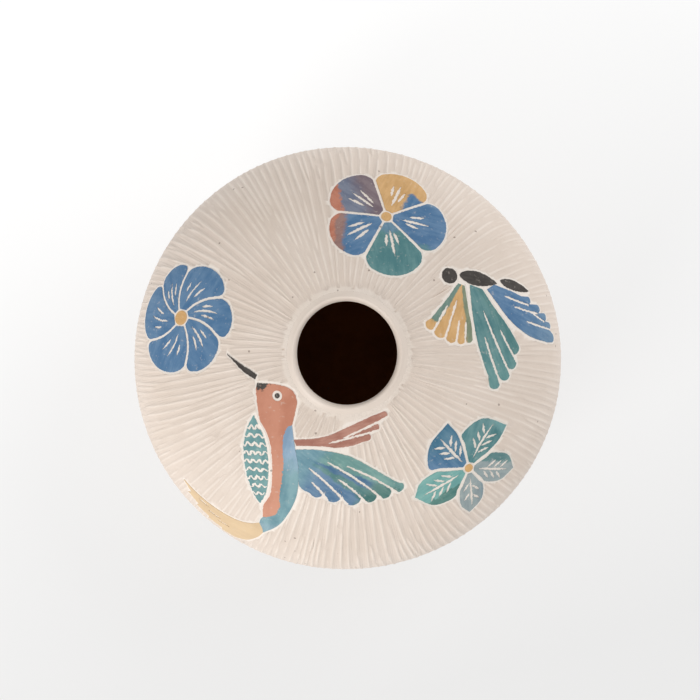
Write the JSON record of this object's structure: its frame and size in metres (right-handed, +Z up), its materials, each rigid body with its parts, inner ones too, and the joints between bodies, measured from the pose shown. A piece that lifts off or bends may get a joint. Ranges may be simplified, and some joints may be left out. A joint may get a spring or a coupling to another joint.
{
  "type": "pottery vase",
  "caption": "Squat closed earthenware vase with a small round mouth, a foot ring, a finely grooved cream shoulder and coloured slip flowers, a bird and a winged insect",
  "frame": {"origin": "middle of the circle the foot ring stands on, at table level", "axes": "+Z up along the pot's turning axis; +X is the insect's side of the pot, and the pinwheel flower lies towards -X"},
  "size_m": [0.16, 0.16, 0.1034],
  "materials": {
    "bare_clay": "dry unglazed earthenware, burnished inside the foot",
    "cream_slip": "burnished cream slip over earthenware, matte with a faint sheen",
    "blue_slip": "matte painted slip",
    "pale_blue_slip": "matte painted slip",
    "teal_slip": "matte painted slip",
    "pale_teal_slip": "matte painted slip",
    "grey_teal_slip": "matte painted slip",
    "ochre_slip": "matte painted slip",
    "pale_ochre_slip": "matte painted slip",
    "rust_slip": "matte painted slip",
    "plum_slip": "matte painted slip",
    "black_slip": "matte painted slip"
  },
  "bodies": {
    "root": {"foot_ring": "bare_clay", "base_slab": "bare_clay", "lower_wall": "cream_slip", "shoulder_wall": "cream_slip", "lip_coil": "cream_slip", "pinwheel_petal_1": "blue_slip", "pinwheel_petal_2": "blue_slip", "pinwheel_petal_3": "blue_slip", "pinwheel_petal_4": "blue_slip", "pinwheel_petal_5": "blue_slip", "pinwheel_petal_6": "blue_slip", "pinwheel_eye": "ochre_slip", "pansy_petal_upper": "ochre_slip", "pansy_petal_upper_left": "plum_slip", "pansy_petal_left": "blue_slip", "pansy_petal_lower": "teal_slip", "pansy_petal_right": "blue_slip", "pansy_eye": "ochre_slip", "leaf_petal_upper_left": "blue_slip", "leaf_petal_upper_right": "teal_slip", "leaf_petal_right": "grey_teal_slip", "leaf_petal_lower": "grey_teal_slip", "leaf_petal_left": "pale_teal_slip", "leaf_flower_eye": "ochre_slip", "insect_head": "black_slip", "insect_thorax": "black_slip", "insect_tail": "black_slip", "insect_wing_small": "ochre_slip", "insect_wing_middle": "teal_slip", "insect_wing_large": "blue_slip", "bird_bill": "black_slip", "bird_head_and_flank": "rust_slip", "bird_eye": "black_slip", "bird_breast": "pale_teal_slip", "bird_back": "pale_blue_slip", "bird_tail": "pale_ochre_slip", "bird_wing_upper": "rust_slip", "bird_wing_lower": "blue_slip"}
  },
  "joints": []
}
